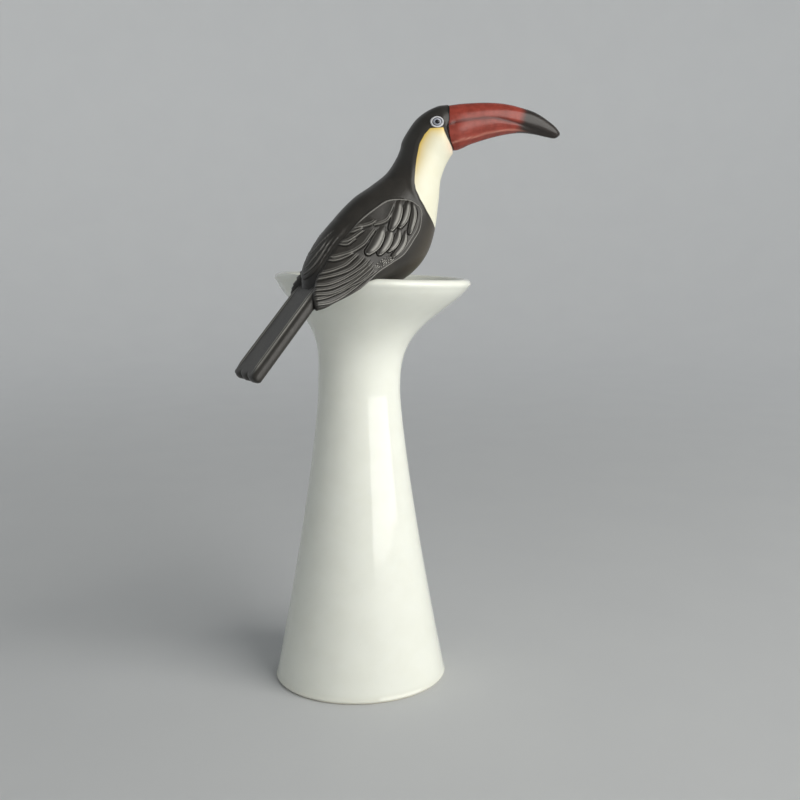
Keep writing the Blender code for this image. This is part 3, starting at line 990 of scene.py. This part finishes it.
tailShape = {
    "along": 96,
    "across": 56,
    "length": 56.6,
    "rootWidth": 19.0,
    "endWidth": 20.5,
    "thickness": 4.6,
    "rounding": 1.9,
    "slope": 49.7,
    "root": (-18.9, 9.2),
    "feathers": 3,
    "scallop": 1.5,
    "packing": 1.7,  # how far the plate's lines are packed towards its sides
    "lines": (-7.5, -8.9, 7.5, 8.9),
    "lineHeight": 0.42,
    "lineWidth": 0.30,
}


def makeTail():
    t = tailShape
    piece, column, line, under = plateOf("tail", t["along"], t["across"])
    share = column / (t["along"] - 1)
    across = 2.0 * line / (t["across"] - 1) - 1.0
    across = np.sign(across) * (1.0 - np.clip(1.0 - np.abs(across), 0.0, 1.0) ** t["packing"])
    feather = np.abs(across) * t["feathers"] % 2.0
    feather = np.minimum(feather, 2.0 - feather)
    reach = t["length"] - t["scallop"] * (1.0 - np.sqrt(np.clip(1.0 - feather**2, 0.0, 1.0)))
    length = reach * share
    width = t["rootWidth"] + (t["endWidth"] - t["rootWidth"]) * share
    aside = 0.5 * width * across
    gap = np.minimum(0.5 * width - np.abs(aside), reach - length)
    r = t["rounding"]
    edge = np.clip(gap / r, 0.0, 1.0)
    half = 0.5 * t["thickness"] - r + r * np.sqrt(1.0 - (1.0 - edge) ** 2)
    place = aside * t["endWidth"] / width
    ends = ~under * softStep(share, 0.2, 0.35) * softStep(share, 0.97, 0.9)
    raised = ends * sum(bump(place, at, t["lineWidth"]) for at in t["lines"])
    # painted shade in the hollows between each pair of raised lines
    middles = (0.5 * (t["lines"][i] + t["lines"][i + 1]) for i in (0, 2))
    between = ends * sum(bump(place, at, t["lineWidth"]) for at in middles)
    half = half + t["lineHeight"] * raised
    slope = math.radians(t["slope"])
    down = np.array([-math.cos(slope), 0.0, -math.sin(slope)])
    below = np.array([math.sin(slope), 0.0, -math.cos(slope)])
    level = 0.5 * t["thickness"] + np.where(under, half, -half)
    root = np.array([t["root"][0], 0.0, t["root"][1]])
    placed = root + length[:, None] * down + level[:, None] * below
    placed[:, 1] = aside
    # the raised lines take painted highlight, the hollows between them painted shade
    return layPlate(piece, placed, 0.9 * raised, 0.6 * between)


tail = makeTail()
print("tail carved")


# Eyes: a domed eye in a raised ring, on each side of the head

eyeShape = {
    "along": 27.9,
    "up": 62.4,
    "aside": 7.8,
    "ring": 2.3,
    "ringThickness": 0.40,
    "dome": 1.9,
    "flat": 0.5,
    "narrow": 0.8,  # its height to its length
    "lean": 12.0,
}


def makeEye(name, side):
    e = eyeShape
    place = (e["along"] * mm, side * e["aside"] * mm, e["up"] * mm)
    lean = math.radians(90.0 - side * e["lean"])
    deselectAll()
    bpy.ops.mesh.primitive_uv_sphere_add(segments=40, ring_count=24, radius=e["dome"] * mm)
    dome = newPiece(name)
    deselectAll()
    bpy.ops.mesh.primitive_torus_add(
        major_radius=e["ring"] * mm,
        minor_radius=e["ringThickness"] * mm,
        major_segments=48,
        minor_segments=14,
    )
    ring = newPiece(name + "Ring")
    for part, flat in ((dome, e["flat"]), (ring, 1.0)):
        part.scale = (1.0, e["narrow"], flat)
        part.rotation_euler = (lean, 0.0, 0.0)
        part.location = place
        pick(part)
        bpy.ops.object.transform_apply()
    return [dome, ring]


eyes = makeEye("nearEye", -1) + makeEye("farEye", 1)


# All parts take the bird's pose and become one casting, cut to sit over the rim

def seatProfile():
    s, gap = standSizes, perch["seatGap"]
    half = 0.5 * s["wall"]
    outside = outsideLine(s["rimHeight"] - half, s["neckHeight"] + 2.0, 40)
    inner = [tuple(p) for p in movedIn(outside, s["wall"] + gap) if p[1] < s["rimHeight"] - half]
    lip = arcPoints((s["mouthRadius"] - half, s["rimHeight"] - half), half + gap, 180, 0, 9)
    points = inner[::-1] + lip + [tuple(p) for p in movedIn(outside, -gap)[1:]]
    return points + points[:1]


def joinShapes(target, other, how):
    modifier = target.modifiers.new(how, "BOOLEAN")
    modifier.operation = how
    modifier.solver = "MANIFOLD"
    modifier.object = other
    pick(target)
    bpy.ops.object.modifier_apply(modifier=modifier.name)
    bpy.data.objects.remove(other, do_unlink=True)


for part in (castBody, beak, nearWing, farWing, back, tail, *eyes):
    writeSpots(part, pose(readSpots(part)))
for part in (beak, nearWing, farWing, back, tail, *eyes):
    joinShapes(castBody, part, "UNION")
seat = spinPiece("seat", seatProfile(), 120)
writeSpots(seat, sway(readSpots(seat)))
joinShapes(castBody, seat, "DIFFERENCE")
toucan = castBody
toucan.name = "toucanFigure"
toucan.data.name = "toucanFigure"
print("toucan joined,", len(toucan.data.polygons), "faces")


# Paint: where each colour goes, measured on the straight bird as (along, up)

paintPlaces = {
    "yellowFade": 2.2,  # mm from the throat's border
    "yellowUp": (32.0, 54.0),
    "blush": (35.0, 53.5),
    "blushSize": 3.0,
    "sides": 4.0,  # the eyes lie further aside
    "breastWay": (0.85, -0.5),
    "breastFrom": (2.0, 14.0),
    "breastTop": (44.0, 30.0),
    # where the painted shade over the rump lies
    "rumpAlong": (-22.0, -26.0),
    "rumpUp": (7.0, 3.0),
    "tip": (64.6, 68.0),
    "tipLean": 0.28,  # the beak's black starts further back below
    "tipFade": 2.2,
    "grooveWidth": 0.6,
    "ridgeWidth": 0.32,
    "ridgeEnd": (68.0, 60.0),
}

p = paintPlaces
local = unpose(readSpots(toucan))
flat = local[:, [0, 2]]
along, up = flat.T
away, side = besideLine(flat, beakRoot)[:2]
beakEdge = np.clip(away * side, -6.0, 6.0)
addMask(toucan, "beakEdge", beakEdge)
addMask(toucan, "throatEdge", np.clip(insideLoop(flat, throatPatch), -6.0, 6.0))
upperBorder = ((30.5, 60.3), (27.0, 60.1), *throatPatch[:7])
away = besideLine(flat, upperBorder)[0]
addMask(toucan, "yellow", np.exp(-away / p["yellowFade"]) * softStep(up, *p["yellowUp"]))
addMask(toucan, "blush", 0.5 * bump(np.linalg.norm(flat - p["blush"], axis=1), 0.0, p["blushSize"]))
eyeAway = np.hypot(along - eyeShape["along"], (up - eyeShape["up"]) / eyeShape["narrow"])
onSide = np.abs(local[:, 1]) > p["sides"]
addMask(toucan, "eyeAway", np.where(onSide, np.clip(eyeAway, 0.0, 9.0), 9.0))

# The crests and hollows of the carved parts are found again on the casting, for its painted highlight and
# painted shade
marks = KDTree(sum(len(part[0]) for part in carved))
for i, spot in enumerate(np.concatenate([part[0] for part in carved])):
    marks.insert(spot, i)
marks.balance()
known = np.concatenate([np.stack(part[1:], axis=1) for part in carved])
found = [marks.find(spot) for spot in readSpots(toucan)]
onCarving = np.array([gap < 0.05 for spot, i, gap in found])
ridgeHighlight, hollow = np.clip(known[[i for spot, i, gap in found]] * onCarving[:, None], 0.0, 1.0).T
# painted highlight on the ridges, lines and down
addMask(toucan, "ridgeHighlight", 0.75 * ridgeHighlight)
# the rump outside the carving is darkened as painted shade
rump = ~onCarving * softStep(along, *p["rumpAlong"]) * softStep(up, *p["rumpUp"])
addMask(toucan, "hollow", np.maximum(0.85 * hollow, 0.7 * rump))
breast = softStep(flat @ np.array(p["breastWay"]), *p["breastFrom"]) * softStep(up, *p["breastTop"])
addMask(toucan, "breast", breast * ~onCarving)
tipEdge = along - p["tip"][0] + p["tipLean"] * (p["tip"][1] - up)
addMask(toucan, "beakTip", softStep(tipEdge, -p["tipFade"], p["tipFade"]))
onBeak = beakEdge > 0
away = besideLine(flat, beakShape["groove"])[0]
addMask(toucan, "beakDeep", 0.9 * bump(away, 0.0, p["grooveWidth"]) * onBeak)
away = besideLine(flat, beakShape["ridge"])[0]
# painted highlight along the beak's ridge
ridge = bump(away, 0.0, p["ridgeWidth"]) * softStep(along, *p["ridgeEnd"])
addMask(toucan, "beakRidgeHighlight", 0.7 * ridge * onBeak)

toucan.data.materials.clear()
toucan.data.materials.append(paintedPlumage)
pick(toucan)
bpy.ops.object.shade_smooth_by_angle(angle=math.radians(60.0))
deselectAll()

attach(glazedStand, "root")
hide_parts("candlestick")
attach(toucan, "root")
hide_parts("toucan")


# Studio: a pale round table top that curves up into its own backdrop

studio = {
    "floorRadius": 1100.0,
    "wallHeight": 1500.0,
    "curve": 500.0,
    "clouds": 60.0,
    "tone": "#CED0D1",
    "toneDeep": "#C9CBCD",
    "glow": "#E4E6E8",  # evens out the far part, as a backdrop light does
    "glowStrength": 0.13,
    "glowFrom": 200.0,
    "glowTo": 1200.0,
}

deselectAll()
bpy.ops.mesh.primitive_circle_add(vertices=96, radius=studio["floorRadius"] * mm, fill_type="NGON")
paleFloor = newPiece("paleFloor")
editAll(paleFloor)
bpy.ops.mesh.select_mode(type="FACE")
last = (studio["floorRadius"], 0.0)
for turn in np.radians(np.linspace(-75, 0, 6)):
    radius = studio["floorRadius"] + studio["curve"] * math.cos(turn)
    level = studio["curve"] * (1.0 + math.sin(turn))
    extrudeUp(level - last[1])
    grow = radius / last[0]
    bpy.ops.transform.resize(value=(grow, grow, 1.0), center_override=(0, 0, level * mm))
    last = (radius, level)
extrudeUp(studio["wallHeight"])
bpy.ops.mesh.delete(type="ONLY_FACE")
deselectAll()
pick(paleFloor)
bpy.ops.object.shade_smooth()
paper, tree, shader = newMaterial("matt backdrop paper, pale grey")
where = addNode("TexCoord").outputs["Object"]
cloud = spread(noise(where, studio["clouds"], 2.0), 0.3, 0.7, 0.0, 0.3)
tone = blendColour(cloud, studio["tone"], studio["toneDeep"])
feed("Base Color", tone)
shader.inputs["Roughness"].default_value = 0.8
away = addNode("VectorMath", {"operation": "LENGTH"}, links={0: where}).outputs["Value"]
glow = spread(away, studio["glowFrom"] * mm, studio["glowTo"] * mm, 0.0, studio["glowStrength"])
feed("Emission Strength", glow)
shader.inputs["Emission Color"].default_value = paint(studio["glow"])
paleFloor.data.materials.append(paper)


# Light: a tall soft box that stands on the table, and a little light from all round

lighting = {
    "azimuth": 53.0,  # 0 is behind the camera, 90 at its right
    "distance": 1000.0,
    "middle": 765.0,
    "width": 1000.0,
    "height": 1500.0,
    "power": 16.6,
    "colour": "#FFFDF8",
    "air": "#E2E6EA",
    "airStrength": 0.15,
}

turn = math.radians(lighting["azimuth"])
boxX = axisX + lighting["distance"] * math.sin(turn)
boxY = axisY - lighting["distance"] * math.cos(turn)
deselectAll()
bpy.ops.object.light_add(
    type="AREA",
    location=(boxX * mm, boxY * mm, lighting["middle"] * mm),
    rotation=(math.radians(90.0), 0.0, turn),
)
light = bpy.context.object
light.name = "keyLight"
light.data.shape = "RECTANGLE"
light.data.size = lighting["width"] * mm
light.data.size_y = lighting["height"] * mm
light.data.energy = lighting["power"]
light.data.color = paint(lighting["colour"])[:3]
light.visible_camera = False

world = bpy.data.worlds.new("studio air")
world.use_nodes = True
bpy.context.scene.world = world
air = world.node_tree.nodes["Background"]
air.inputs["Color"].default_value = paint(lighting["air"])
air.inputs["Strength"].default_value = lighting["airStrength"]
print("studio set")
